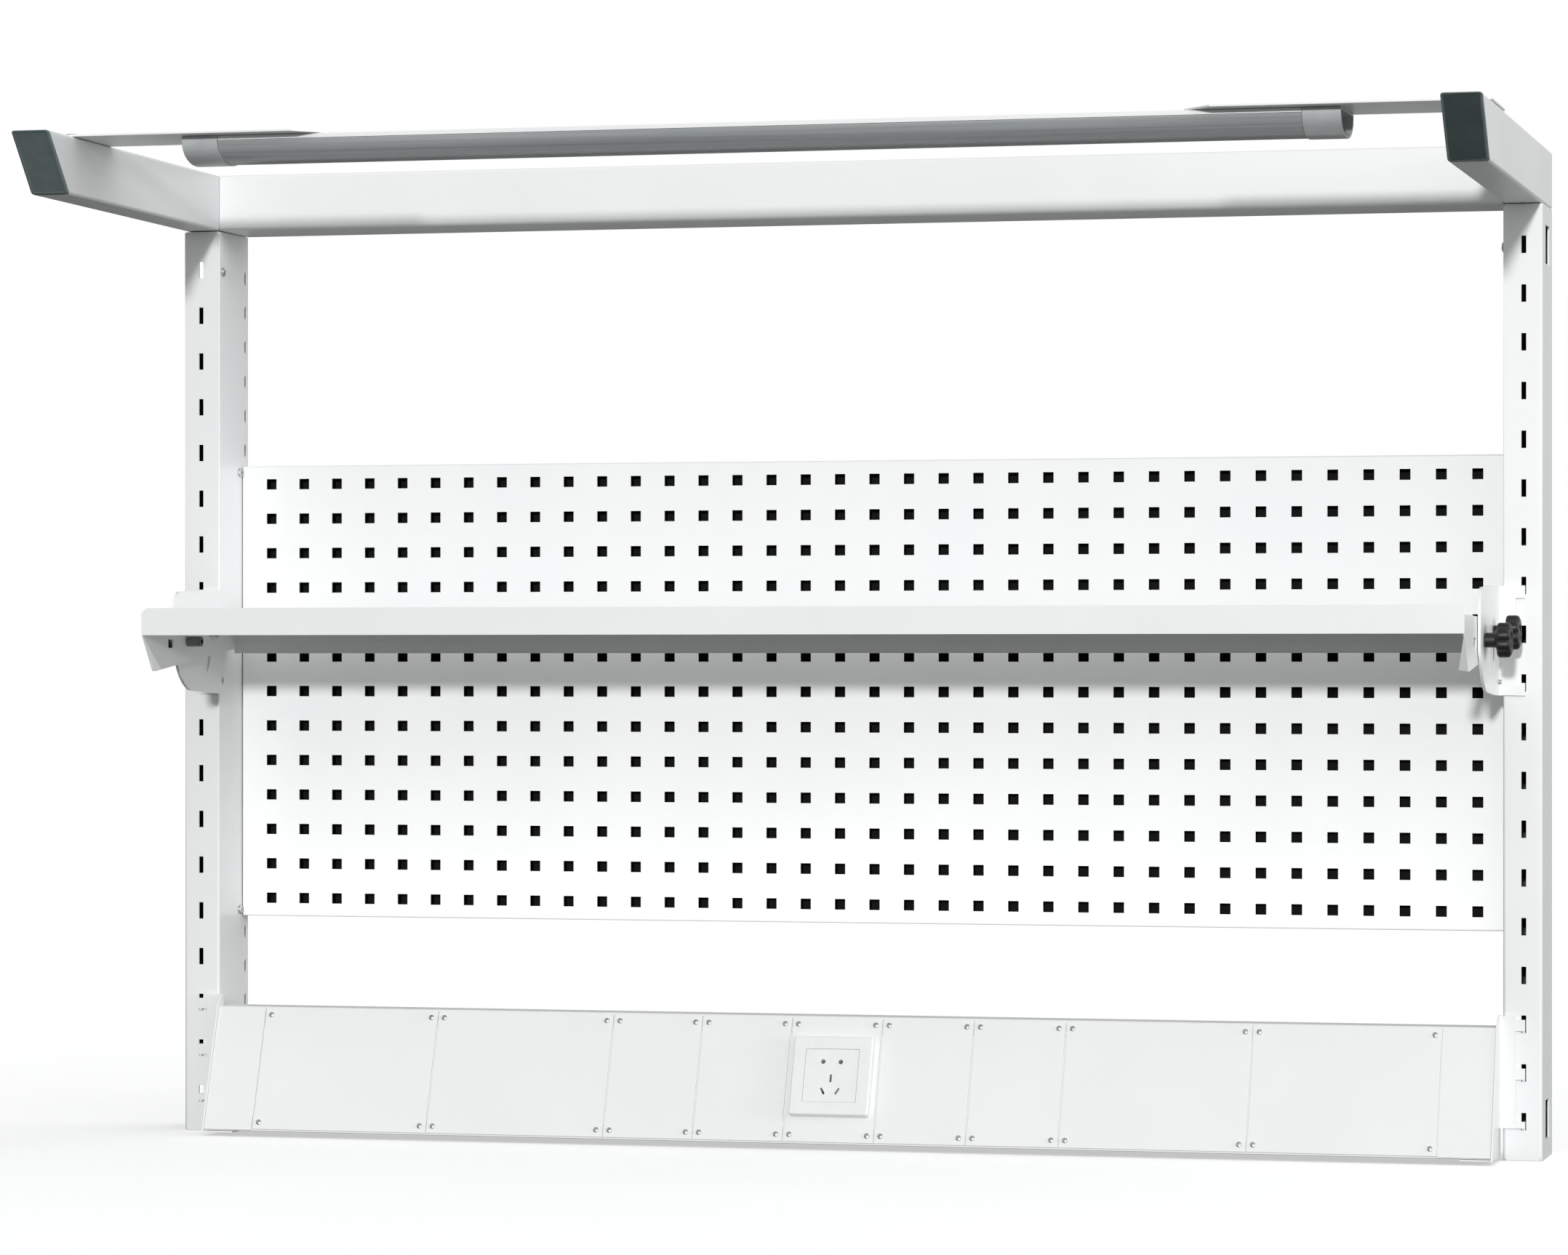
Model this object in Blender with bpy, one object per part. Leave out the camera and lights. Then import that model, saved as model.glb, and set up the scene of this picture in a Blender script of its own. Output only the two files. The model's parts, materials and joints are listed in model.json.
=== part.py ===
"""Pegboard tool wall for a workbench: two slotted uprights with a cross beam and
two forward arms, a square-hole tool panel, a lamp, a tilting shelf and a socket
console.  Metres, +Z up.  The origin is midway between the uprights, on their
bottom plane and in the plane of their rear faces.  The front faces -Y."""

from math import atan2, cos, degrees, hypot, pi, radians, sin

import bmesh
import bpy
from mathutils import Matrix, Vector

# ---------------------------------------------------------------- driving sizes
GAP = 0.0003                    # clearance between pieces that touch
SHEET = 0.002                   # sheet steel of the uprights, arms and beam
THIN = 0.0015                   # sheet steel of the panel, shelf and console
PLATE = 0.003                   # hooked brackets
STEP = 0.0002                   # offset that keeps two joined faces from coinciding

WALL_WIDTH = 1.480
UPRIGHT_WIDTH = 0.040
UPRIGHT_DEPTH = 0.090
UPRIGHT_HEIGHT = 0.9817
CLEAR_HALF = WALL_WIDTH / 2 - UPRIGHT_WIDTH

SLOT_COUNT = 19
SLOT_PITCH = 0.050
SLOT_FIRST_Z = 0.040
SLOT_WIDTH = 0.005
SLOT_HEIGHT = 0.018
SLOT_X = WALL_WIDTH / 2 - 0.019
SIDE_SLOT_WIDTH = 0.006
SIDE_SLOT_HEIGHT = 0.014
SIDE_SLOT_Y = -0.0085
SIDE_SLOT_COUNT = 24
CUTOUT_HEIGHT = 0.040
CUTOUT_DEPTH = 0.034
CUTOUT_Y = -0.044
CUTOUT_ZS = (0.040, 0.942)

PEG_PITCH = 0.038
PEG_HOLE = 0.0115
PEG_COLUMNS = 36
PEG_ROWS = 13
PEG_TOP_Z = 0.7075
PANEL_MARGIN = 0.020
PANEL_FRONT_Y = -0.020
PANEL_DEPTH = 0.0185
PANEL_HALF = CLEAR_HALF - 2 * GAP
BACKING = 0.0012

SIDE_SCREW_SHANK = 0.0025
SIDE_SCREW_HEAD = 0.005
PANEL_SCREW_Y = -0.0262
PANEL_SCREW_INSET = 0.013       # how far the panel's screws stand beyond its outer rows
SIDE_SCREWS = {
    "upper_panel_screw": (PANEL_SCREW_Y, PEG_TOP_Z + PANEL_SCREW_INSET),
    "lower_panel_screw": (PANEL_SCREW_Y, PEG_TOP_Z - (PEG_ROWS - 1) * PEG_PITCH - PANEL_SCREW_INSET),
    "arm_screw": (-0.080, 0.938),
}

CANOPY_Z = 0.982                # underside of the arms at their rear end
CANOPY_RISE = radians(0.44)
ARM_HEIGHT = 0.060
ARM_TOP_REACH = 0.579
ARM_BOTTOM_REACH = 0.524
CAP_THICKNESS = 0.0035
CAP_PLUG = 0.012
CUT_ANGLE = atan2(ARM_TOP_REACH - ARM_BOTTOM_REACH, ARM_HEIGHT)
CUT_BACK = (CAP_THICKNESS + GAP) / cos(CUT_ANGLE)
BOLT_X = CLEAR_HALF + 0.018     # the bolt that holds a lamp bracket on its arm
BOLT_Y = -0.470

BRACKET_FRONT = 0.506           # lamp brackets, measured forward from the rear
BRACKET_REAR = 0.402
BRACKET_INNER_X = 0.438
BRACKET_CHAMFER = 0.030
BRACKET_BOTTOM = ARM_HEIGHT + GAP
LAMP_HALF = 0.5925
LAMP_CAP = 0.038
LAMP_FRONT = 0.484
LAMP_WIDTH = 0.080
LAMP_HEIGHT = 0.026
LAMP_SIDE = 0.006
LAMP_TOP = ARM_HEIGHT
LAMP_MIDDLE_Y = LAMP_WIDTH / 2 - LAMP_FRONT
SCREW_X = LAMP_HALF - 0.080     # the screw that holds the lamp under its bracket
HOUSING_DROP = 0.0045
LAMP_CAP_PROUD = 0.001          # how far the end caps stand out from the lens

PIVOT_Y = -0.210
PIVOT_Z = 0.5335
SHELF_HALF = 0.6925
SHELF_FRONT_Y = -0.341
SHELF_REAR_Y = -0.065
SHELF_FLOOR_Z = 0.5485          # underside of the floor
SHELF_LIP_LOW = 0.5395
SHELF_LIP_TOP = 0.568
SHELF_BEND_Z = 0.5325
SHELF_REAR_LOW = 0.521
SHELF_REAR_FLARE = 0.004
LOCK_RADIUS = 0.073
LOCK_ANGLE = radians(6.3)
LOCK_Y = PIVOT_Y + LOCK_RADIUS * cos(LOCK_ANGLE)
LOCK_Z = PIVOT_Z + LOCK_RADIUS * sin(LOCK_ANGLE)
TILT_RANGE = radians(30)
SPARE_HOLE_Y = (-0.2665, -0.2510)
SPARE_HOLE_Z = (0.5265, 0.5355)
BOLT_RADIUS = 0.003
BOLT_HEAD_RADIUS = 0.0055
BOLT_SLOT_RADIUS = 0.0036
KNOB_COLLAR = 0.0125
KNOB_COLLAR_RADIUS = 0.0075
KNOB_HEAD = 0.014
KNOB_RADIUS = 0.0178

SIDE_INNER_X = 0.6932           # inner face of the shelf brackets' side plates
FLANGE_OUTER_X = 0.713
TAB_OUTER_X = 0.7226
SHELF_BRACKET_TOP = 0.5895
SHELF_BRACKET_BOTTOM = 0.477
SHELF_BRACKET_REACH = -0.242
BRACKET_STOP = (-0.0970, 0.4913)
STOP_HEAD_RADIUS = 0.0042
STOP_HEAD_DEPTH = 0.0018

CONSOLE_HALF = 0.6945
CONSOLE_BOTTOM = 0.0055
CONSOLE_TOP = 0.137
CONSOLE_REAR_Y = -0.070
CONSOLE_TOP_Y = -0.1028
CONSOLE_FOOT_Y = -0.1508
COVERED_HALF = 0.640
COVER_UNITS = (2, 2, 1, 1, 1, 1, 1, 2, 2)
COVER_UNIT = 2 * COVERED_HALF / sum(COVER_UNITS)
SOCKET_SIZE = 0.086
SOCKET_THICKNESS = 0.009

FRONT_SLOPE = atan2(CONSOLE_TOP_Y - CONSOLE_FOOT_Y, CONSOLE_TOP - CONSOLE_BOTTOM)
FRONT_LENGTH = hypot(CONSOLE_TOP_Y - CONSOLE_FOOT_Y, CONSOLE_TOP - CONSOLE_BOTTOM)

PAINT_WHITE = (0.80, 0.81, 0.81)
CAP_GREY = (0.07, 0.09, 0.09)
KNOB_BLACK = (0.012, 0.012, 0.014)
LENS_GREY = (0.45, 0.47, 0.47)
ZINC = (0.62, 0.63, 0.64)
SOCKET_WHITE = (0.82, 0.83, 0.83)
BOARD_WHITE = (0.75, 0.76, 0.72)


# ------------------------------------------------------------------- materials
def finish(name, color, roughness, metallic=0.0):
    """A plain Principled material."""
    material = bpy.data.materials.new(name)
    material.use_nodes = True
    shader = material.node_tree.nodes["Principled BSDF"]
    shader.inputs["Base Color"].default_value = (*color, 1.0)
    shader.inputs["Roughness"].default_value = roughness
    shader.inputs["Metallic"].default_value = metallic
    return material


# ---------------------------------------------------------------- shape helpers
def place(name, bm, color, roughness=0.45, metallic=0.0, smooth=False):
    """Turn a bmesh into a named object with a material of its own."""
    bmesh.ops.recalc_face_normals(bm, faces=bm.faces)
    mesh = bpy.data.meshes.new(name)
    bm.to_mesh(mesh)
    bm.free()
    if smooth:
        mesh.shade_smooth()
        mesh.set_sharp_from_angle(angle=radians(35))
    piece = bpy.data.objects.new(name, mesh)
    bpy.context.scene.collection.objects.link(piece)
    piece.data.materials.append(finish(name, color, roughness, metallic))
    return piece


def prism(outline, axis, low, high):
    """Extrude a flat outline along an axis.  The outline's two values are the
    other two axes, in X, Y, Z order."""
    bm = bmesh.new()
    corners = []
    for first, second in outline:
        point = [first, second]
        point.insert("XYZ".index(axis), low)
        corners.append(bm.verts.new(point))
    face = bm.faces.new(corners)
    side = Vector((0, 0, 0))
    side["XYZ".index(axis)] = high - low
    grown = bmesh.ops.extrude_face_region(bm, geom=[face])
    moved = [item for item in grown["geom"] if isinstance(item, bmesh.types.BMVert)]
    bmesh.ops.translate(bm, verts=moved, vec=side)
    bmesh.ops.recalc_face_normals(bm, faces=bm.faces)
    return bm


def block(x, y, z):
    """A box between two values on each axis."""
    return prism([(x[0], y[0]), (x[1], y[0]), (x[1], y[1]), (x[0], y[1])], "Z", *z)


def rod(axis, centre, radius, low, high, sides=16):
    """A cylinder along an axis.  centre gives the other two axes."""
    ring = [
        (centre[0] + radius * cos(2 * pi * k / sides), centre[1] + radius * sin(2 * pi * k / sides))
        for k in range(sides)
    ]
    return prism(ring, axis, low, high)


def join(*shapes):
    """Put several loose shapes in one bmesh, for use as one cutter."""
    whole = bmesh.new()
    for shape in shapes:
        mesh = bpy.data.meshes.new("join")
        shape.to_mesh(mesh)
        shape.free()
        whole.from_mesh(mesh)
        bpy.data.meshes.remove(mesh)
    return whole


def combine(body, tool, operation):
    """Boolean a bmesh into a bmesh and return the new one."""
    objects = []
    for shape in (body, tool):
        mesh = bpy.data.meshes.new("combine")
        shape.to_mesh(mesh)
        shape.free()
        piece = bpy.data.objects.new("combine", mesh)
        bpy.context.scene.collection.objects.link(piece)
        objects.append(piece)
    modifier = objects[0].modifiers.new("combine", "BOOLEAN")
    modifier.operation = operation
    modifier.object = objects[1]
    evaluated = objects[0].evaluated_get(bpy.context.evaluated_depsgraph_get())
    result = bmesh.new()
    result.from_mesh(evaluated.to_mesh())
    evaluated.to_mesh_clear()
    for piece in objects:
        mesh = piece.data
        bpy.data.objects.remove(piece)
        bpy.data.meshes.remove(mesh)
    bmesh.ops.remove_doubles(result, verts=result.verts, dist=1e-6)
    return result


def cut(body, *tools):
    return combine(body, join(*tools), "DIFFERENCE")


def fuse(body, tool):
    return combine(body, tool, "UNION")


def mirror_x(side, low, high):
    """Order two X values given for the +X side on the side asked for."""
    return (low, high) if side > 0 else (-high, -low)


def flip(outline, side):
    """Mirror an outline whose first value is X."""
    return [(side * x, other) for x, other in outline]


def empty(name, location, rotation=(0, 0, 0)):
    guide = bpy.data.objects.new(name, None)
    guide.location = location
    guide.rotation_euler = rotation
    bpy.context.scene.collection.objects.link(guide)
    return guide


def hang(piece, guide):
    """Parent a piece, modelled in world places, to an unturned guide."""
    piece.data.transform(Matrix.Translation(-guide.location))
    piece.parent = guide


def arc(centre, radius, start, stop, steps):
    """Points on a circle from one angle to another, in degrees."""
    angles = [radians(start + (stop - start) * k / steps) for k in range(steps + 1)]
    return [(centre[0] + radius * cos(a), centre[1] + radius * sin(a)) for a in angles]


def slot_z(index):
    return SLOT_FIRST_Z + SLOT_PITCH * index


# --------------------------------------------------------------------- uprights
def upright(name, side):
    """A rectangular tube, open at both ends, with its slots to the front."""
    outer = WALL_WIDTH / 2
    inner = CLEAR_HALF
    depth = UPRIGHT_DEPTH
    shape = block(mirror_x(side, inner, outer), (-depth, 0), (0, UPRIGHT_HEIGHT))
    bore = block(mirror_x(side, inner + SHEET, outer - SHEET), (SHEET - depth, -SHEET),
                 (-0.01, UPRIGHT_HEIGHT + 0.01))
    shape = cut(shape, bore)
    cutters = []
    for index in range(SLOT_COUNT):
        middle = slot_z(index)
        cutters.append(block(
            mirror_x(side, SLOT_X - SLOT_WIDTH / 2, SLOT_X + SLOT_WIDTH / 2),
            (-depth - 0.001, -depth + SHEET + 0.001),
            (middle - SLOT_HEIGHT / 2, middle + SLOT_HEIGHT / 2),
        ))
    through = mirror_x(side, inner - 0.001, inner + SHEET + 0.001)
    half = SIDE_SLOT_WIDTH / 2
    tall = SIDE_SLOT_HEIGHT / 2
    for index in range(SIDE_SLOT_COUNT):
        middle = PEG_TOP_Z + 6 * PEG_PITCH - index * PEG_PITCH
        oval = [
            (SIDE_SLOT_Y + sy * a, middle + sz * b)
            for sy, sz, a, b in (
                (-1, -1, half / 2, tall), (1, -1, half / 2, tall), (1, -1, half, tall - half),
                (1, 1, half, tall - half), (1, 1, half / 2, tall), (-1, 1, half / 2, tall),
                (-1, 1, half, tall - half), (-1, -1, half, tall - half),
            )
        ]
        cutters.append(prism(oval, "X", *through))
    for middle in CUTOUT_ZS:
        cutters.append(block(
            mirror_x(side, outer - SHEET - 0.001, outer + 0.001),
            (CUTOUT_Y - CUTOUT_DEPTH / 2, CUTOUT_Y + CUTOUT_DEPTH / 2),
            (middle - CUTOUT_HEIGHT / 2, middle + CUTOUT_HEIGHT / 2),
        ))
    for place_yz in SIDE_SCREWS.values():
        cutters.append(rod("X", place_yz, SIDE_SCREW_SHANK + GAP, *through, sides=8))
    place(name, cut(shape, *cutters), PAINT_WHITE)


def side_screw(name, side, place_yz):
    """A round-head screw through an upright's inner wall."""
    head = rod("X", place_yz, SIDE_SCREW_HEAD, *mirror_x(side, CLEAR_HALF - 0.0028, CLEAR_HALF - GAP), 14)
    shank = rod("X", place_yz, SIDE_SCREW_SHANK, *mirror_x(side, CLEAR_HALF - 0.001, CLEAR_HALF + 0.008), 8)
    place(name, fuse(head, shank), ZINC, 0.35, 1.0)


# ------------------------------------------------------------------- tool panel
def tool_panel():
    """A sheet with square peg holes and its four edges folded back."""
    bottom = PEG_TOP_Z - (PEG_ROWS - 1) * PEG_PITCH - PANEL_MARGIN
    top = PEG_TOP_Z + PANEL_MARGIN
    back = PANEL_FRONT_Y + PANEL_DEPTH
    shape = block((-PANEL_HALF, PANEL_HALF), (PANEL_FRONT_Y, back), (bottom, top))
    hollow = block((THIN - PANEL_HALF, PANEL_HALF - THIN), (PANEL_FRONT_Y + THIN, back + 0.01),
                   (bottom + THIN, top - THIN))
    shape = cut(shape, hollow)
    holes = []
    first_x = -(PEG_COLUMNS - 1) * PEG_PITCH / 2
    for column in range(PEG_COLUMNS):
        for row in range(PEG_ROWS):
            x = first_x + column * PEG_PITCH
            z = PEG_TOP_Z - row * PEG_PITCH
            holes.append(block((x - PEG_HOLE / 2, x + PEG_HOLE / 2),
                               (PANEL_FRONT_Y - 0.001, PANEL_FRONT_Y + THIN + 0.001),
                               (z - PEG_HOLE / 2, z + PEG_HOLE / 2)))
    place("tool_panel", cut(shape, *holes), PAINT_WHITE)


def panel_backing():
    """A dark sheet let in behind the panel's folded edges."""
    bottom = PEG_TOP_Z - (PEG_ROWS - 1) * PEG_PITCH - PANEL_MARGIN
    top = PEG_TOP_Z + PANEL_MARGIN
    half = PANEL_HALF - THIN - GAP
    rear = PANEL_FRONT_Y + PANEL_DEPTH - GAP
    shape = block((-half, half), (rear - BACKING, rear), (bottom + THIN + GAP, top - THIN - GAP))
    place("panel_backing", shape, KNOB_BLACK, 0.8)


# ----------------------------------------------------------- canopy: beam, arms
def canopy():
    """Everything that tilts up with the arms, in the arms' own frame."""
    guide = empty("canopy_frame", (0, 0, CANOPY_Z), (-CANOPY_RISE, 0, 0))
    pieces = [cross_beam()]
    for label, side in (("left", -1), ("right", 1)):
        pieces += [
            arm(label + "_arm", side),
            arm_cap(label + "_arm_cap", side),
            lamp_bracket(label + "_lamp_bracket", side),
            lamp_end_cap("lamp_" + label + "_end_cap", side),
            bracket_bolt(label + "_lamp_bracket_bolt", side),
            lamp_screw(label + "_lamp_fixing_screw", side),
        ]
    pieces += [lamp_housing(), lamp_diffuser(), lamp_board(), lamp_driver()]
    for piece in pieces:
        piece.parent = guide


def cross_beam():
    half = CLEAR_HALF - GAP
    shape = block((-half, half), (-UPRIGHT_DEPTH, 0), (0, ARM_HEIGHT))
    bore = block((-half - 0.01, half + 0.01), (SHEET - UPRIGHT_DEPTH, -SHEET), (SHEET, ARM_HEIGHT - SHEET))
    return place("cross_beam", cut(shape, bore), PAINT_WHITE)


def cut_reach(height, back=0.0):
    """How far forward the oblique end is at a height, less a setback."""
    share = height / ARM_HEIGHT
    return ARM_BOTTOM_REACH + share * (ARM_TOP_REACH - ARM_BOTTOM_REACH) - back


def arm(name, side):
    """A rectangular tube, closed at the wall and cut obliquely in front."""
    outline = [(0, 0), (-cut_reach(0, CUT_BACK), 0),
               (-cut_reach(ARM_HEIGHT, CUT_BACK), ARM_HEIGHT), (0, ARM_HEIGHT)]
    low = SHEET
    high = ARM_HEIGHT - SHEET
    bore = [(-SHEET, low), (-cut_reach(low) - 0.01, low), (-cut_reach(high) - 0.01, high), (-SHEET, high)]
    shape = prism(outline, "X", *mirror_x(side, CLEAR_HALF, WALL_WIDTH / 2))
    hollow = prism(bore, "X", *mirror_x(side, CLEAR_HALF + SHEET, WALL_WIDTH / 2 - SHEET))
    hole = rod("Z", (side * BOLT_X, BOLT_Y), BOLT_RADIUS + GAP, high - 0.001, ARM_HEIGHT + 0.001, 12)
    return place(name, cut(cut(shape, hollow), hole), PAINT_WHITE)


def arm_cap(name, side):
    """A plastic end cap: a face plate along the cut with a plug behind it."""
    back = CAP_THICKNESS / cos(CUT_ANGLE)
    face = [(-cut_reach(0), 0), (-cut_reach(ARM_HEIGHT), ARM_HEIGHT),
            (-cut_reach(ARM_HEIGHT, back), ARM_HEIGHT), (-cut_reach(0, back), 0)]
    inset = SHEET + 2 * GAP
    low = inset
    high = ARM_HEIGHT - inset
    plug = [(-cut_reach(low, back / 2), low), (-cut_reach(high, back / 2), high),
            (-cut_reach(high, back + CAP_PLUG), high), (-cut_reach(low, back + CAP_PLUG), low)]
    shape = prism(face, "X", *mirror_x(side, CLEAR_HALF, WALL_WIDTH / 2))
    corners = [edge for edge in shape.edges
               if abs(edge.verts[0].co.x - edge.verts[1].co.x) < 1e-6
               and abs(edge.verts[0].co.z - edge.verts[1].co.z) < 1e-6]
    bmesh.ops.bevel(shape, geom=corners, offset=0.004, segments=3, profile=0.5, affect="EDGES")
    tongue = prism(plug, "X", *mirror_x(side, CLEAR_HALF + inset, WALL_WIDTH / 2 - inset))
    return place(name, fuse(shape, tongue), CAP_GREY, 0.6)


# ------------------------------------------------------------------------- lamp
def lamp_bracket(name, side):
    """A flat sheet laid on the arm, reaching inwards over the lamp."""
    outline = [
        (WALL_WIDTH / 2, -BRACKET_REAR), (WALL_WIDTH / 2, -BRACKET_FRONT),
        (BRACKET_INNER_X + BRACKET_CHAMFER, -BRACKET_FRONT),
        (BRACKET_INNER_X, -BRACKET_FRONT + BRACKET_CHAMFER),
        (BRACKET_INNER_X, -BRACKET_REAR),
    ]
    shape = prism(flip(outline, side), "Z", BRACKET_BOTTOM, BRACKET_BOTTOM + SHEET)
    holes = [
        rod("Z", (side * x, y), BOLT_RADIUS + GAP, BRACKET_BOTTOM - 0.001, BRACKET_BOTTOM + 0.004, 12)
        for x, y in ((BOLT_X, BOLT_Y), (SCREW_X, LAMP_MIDDLE_Y))
    ]
    return place(name, cut(shape, *holes), PAINT_WHITE)


def bracket_bolt(name, side):
    """The hexagon bolt that holds a lamp bracket on its arm."""
    top = BRACKET_BOTTOM + SHEET + GAP
    head = rod("Z", (side * BOLT_X, BOLT_Y), 0.0058, top, top + 0.004, 6)
    shank = rod("Z", (side * BOLT_X, BOLT_Y), BOLT_RADIUS - GAP, ARM_HEIGHT - 0.010, top + 0.001, 12)
    return place(name, fuse(head, shank), ZINC, 0.35, 1.0)


def lamp_screw(name, side):
    """The screw down through a bracket into the lamp's housing."""
    top = BRACKET_BOTTOM + SHEET + GAP
    head = rod("Z", (side * SCREW_X, LAMP_MIDDLE_Y), 0.005, top, top + 0.0025, 14)
    shank = rod("Z", (side * SCREW_X, LAMP_MIDDLE_Y), BOLT_RADIUS - GAP, LAMP_TOP - 0.006, top + 0.001, 12)
    return place(name, fuse(head, shank), ZINC, 0.35, 1.0)


def lamp_outline(inset=0.0):
    """The lamp's section: flat on top, short sides and a round belly.  A negative
    inset widens it, but never raises its top."""
    top = LAMP_TOP - max(inset, 0.0)
    wide = LAMP_WIDTH / 2 - inset
    shoulder = LAMP_TOP - LAMP_SIDE
    belly = LAMP_HEIGHT - LAMP_SIDE - inset
    steps = 14
    return [(LAMP_MIDDLE_Y - wide, top)] + [
        (LAMP_MIDDLE_Y - wide * cos(pi * k / steps), shoulder - belly * sin(pi * k / steps))
        for k in range(steps + 1)
    ] + [(LAMP_MIDDLE_Y + wide, top)]


def lamp_end_cap(name, side):
    shape = prism(lamp_outline(-LAMP_CAP_PROUD), "X", *mirror_x(side, LAMP_HALF - LAMP_CAP, LAMP_HALF))
    recess = prism(lamp_outline(THIN), "X", *mirror_x(side, LAMP_HALF - 0.010, LAMP_HALF + 0.01))
    return place(name, cut(shape, recess), SOCKET_WHITE, 0.4)


def lamp_housing():
    """A shallow steel tray, open downwards, that the light parts sit in."""
    half = LAMP_HALF - LAMP_CAP - GAP
    front = -LAMP_FRONT
    rear = LAMP_WIDTH - LAMP_FRONT
    shape = block((-half, half), (front, rear), (LAMP_TOP - HOUSING_DROP, LAMP_TOP))
    tray = block((-half - 0.01, half + 0.01), (front + THIN, rear - THIN),
                 (LAMP_TOP - HOUSING_DROP - 0.01, LAMP_TOP - THIN))
    holes = [
        rod("Z", (side * SCREW_X, LAMP_MIDDLE_Y), BOLT_RADIUS + GAP, LAMP_TOP - 0.004, LAMP_TOP + 0.001, 12)
        for side in (-1, 1)
    ]
    return place("lamp_housing", cut(cut(shape, tray), *holes), PAINT_WHITE)


def lamp_diffuser():
    """The round milky trough under the light board."""
    half = LAMP_HALF - LAMP_CAP - GAP
    level = LAMP_TOP - HOUSING_DROP - GAP
    shape = prism(lamp_outline(), "X", -half, half)
    hollow = prism(lamp_outline(THIN), "X", -half - 0.01, half + 0.01)
    lid = block((-half - 0.01, half + 0.01), (-LAMP_FRONT - 0.01, LAMP_WIDTH - LAMP_FRONT + 0.01),
                (level, LAMP_TOP + 0.01))
    return place("lamp_diffuser", cut(cut(shape, hollow), lid), LENS_GREY, 0.35, smooth=True)


def lamp_board():
    half = LAMP_HALF - LAMP_CAP - 0.010
    low = LAMP_TOP - HOUSING_DROP + 0.0005
    shape = block((-half, half), (LAMP_MIDDLE_Y - 0.034, LAMP_MIDDLE_Y - 0.010), (low, low + THIN))
    return place("lamp_led_board", shape, BOARD_WHITE, 0.5)


def lamp_driver():
    low = LAMP_TOP - 0.014
    high = LAMP_TOP - THIN - GAP
    shape = block((-0.110, 0.110), (LAMP_MIDDLE_Y - 0.002, LAMP_MIDDLE_Y + 0.026), (low, high))
    return place("lamp_driver", shape, SOCKET_WHITE, 0.5)


# --------------------------------------------------------------- hooked brackets
def hook(side, z, drop, rise):
    """A tab that turns back through a slot and down behind its edge."""
    front = -UPRIGHT_DEPTH - GAP
    blade = mirror_x(side, TAB_OUTER_X - PLATE, TAB_OUTER_X - STEP)
    tab = block(mirror_x(side, FLANGE_OUTER_X - 0.001, TAB_OUTER_X),
                (front - PLATE + STEP, front - STEP), (z - drop, z + rise))
    neck_low = z - SLOT_HEIGHT / 2 + GAP
    nose = -UPRIGHT_DEPTH + SHEET + GAP
    outline = [
        (front - 0.001, neck_low), (nose, neck_low),
        (nose, neck_low - 0.006), (nose + 0.003, neck_low - 0.006),
        (nose + 0.005, neck_low), (nose + 0.005, z + rise - 0.003),
        (nose + 0.003, z + rise - STEP),
        (front - 0.001, z + rise - STEP),
    ]
    return fuse(tab, prism(outline, "X", *blade))


def shelf_bracket(name, side):
    """A round-cornered side plate with the tilt slot, on a hooked flange."""
    front = -UPRIGHT_DEPTH - GAP
    top = SHELF_BRACKET_TOP
    bottom = SHELF_BRACKET_BOTTOM
    reach = SHELF_BRACKET_REACH
    outline = [(front, bottom), (front - 0.045, bottom + 0.001)]
    outline += arc((reach + 0.060, bottom + 0.063), 0.060, 258, 205, 5)
    outline += [(reach, bottom + 0.045), (reach, top - 0.026)]
    outline += arc((reach + 0.020, top - 0.022), 0.020, 170, 110, 3)
    outline += [(front - 0.070, top), (front, top)]
    shape = prism(outline, "X", *mirror_x(side, SIDE_INNER_X, SIDE_INNER_X + PLATE))
    flange = block(mirror_x(side, SIDE_INNER_X + STEP, FLANGE_OUTER_X),
                   (front - PLATE, front - STEP), (bottom + STEP, top - STEP))
    shape = fuse(shape, flange)
    for index in (9, 11):
        shape = fuse(shape, hook(side, slot_z(index), 0.013, 0.0))
    through = mirror_x(side, SIDE_INNER_X - 0.001, SIDE_INNER_X + PLATE + 0.001)
    wide = BOLT_SLOT_RADIUS
    top_angle = degrees(LOCK_ANGLE)
    low_angle = degrees(LOCK_ANGLE - TILT_RANGE)
    pivot = (PIVOT_Y, PIVOT_Z)
    slot = arc(pivot, LOCK_RADIUS - wide, top_angle, low_angle, 8)
    slot += end_round(low_angle, -1)
    slot += arc(pivot, LOCK_RADIUS + wide, low_angle, top_angle, 8)
    slot += end_round(top_angle, 1)
    tilt_slot = prism(slot, "X", *through)
    pivot_hole = rod("X", pivot, BOLT_RADIUS + GAP, *through, sides=16)
    stop_hole = rod("X", BRACKET_STOP, SIDE_SCREW_SHANK + GAP, *through, sides=8)
    sink = rod("X", BRACKET_STOP, STOP_HEAD_RADIUS + GAP,
               *mirror_x(side, SIDE_INNER_X - 0.001, SIDE_INNER_X + STOP_HEAD_DEPTH + GAP), sides=14)
    shape = cut(shape, tilt_slot, pivot_hole, stop_hole)
    place(name, cut(shape, sink), PAINT_WHITE)


def bracket_stop(name, side):
    """The sunk screw at the foot of a shelf bracket's side plate."""
    inner = SIDE_INNER_X + STEP
    outer = SIDE_INNER_X + PLATE + 0.003
    head = rod("X", BRACKET_STOP, STOP_HEAD_RADIUS, *mirror_x(side, inner, SIDE_INNER_X + STOP_HEAD_DEPTH), 14)
    shank = rod("X", BRACKET_STOP, SIDE_SCREW_SHANK, *mirror_x(side, inner + 0.001, outer), 8)
    place(name, fuse(head, shank), ZINC, 0.35, 1.0)


def end_round(angle, way):
    """The half circle that closes one end of the tilt slot."""
    centre = arc((PIVOT_Y, PIVOT_Z), LOCK_RADIUS, angle, angle, 1)[0]
    start = angle + 180 if way < 0 else angle
    return arc(centre, BOLT_SLOT_RADIUS, start, start + 180, 6)[1:-1]


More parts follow.
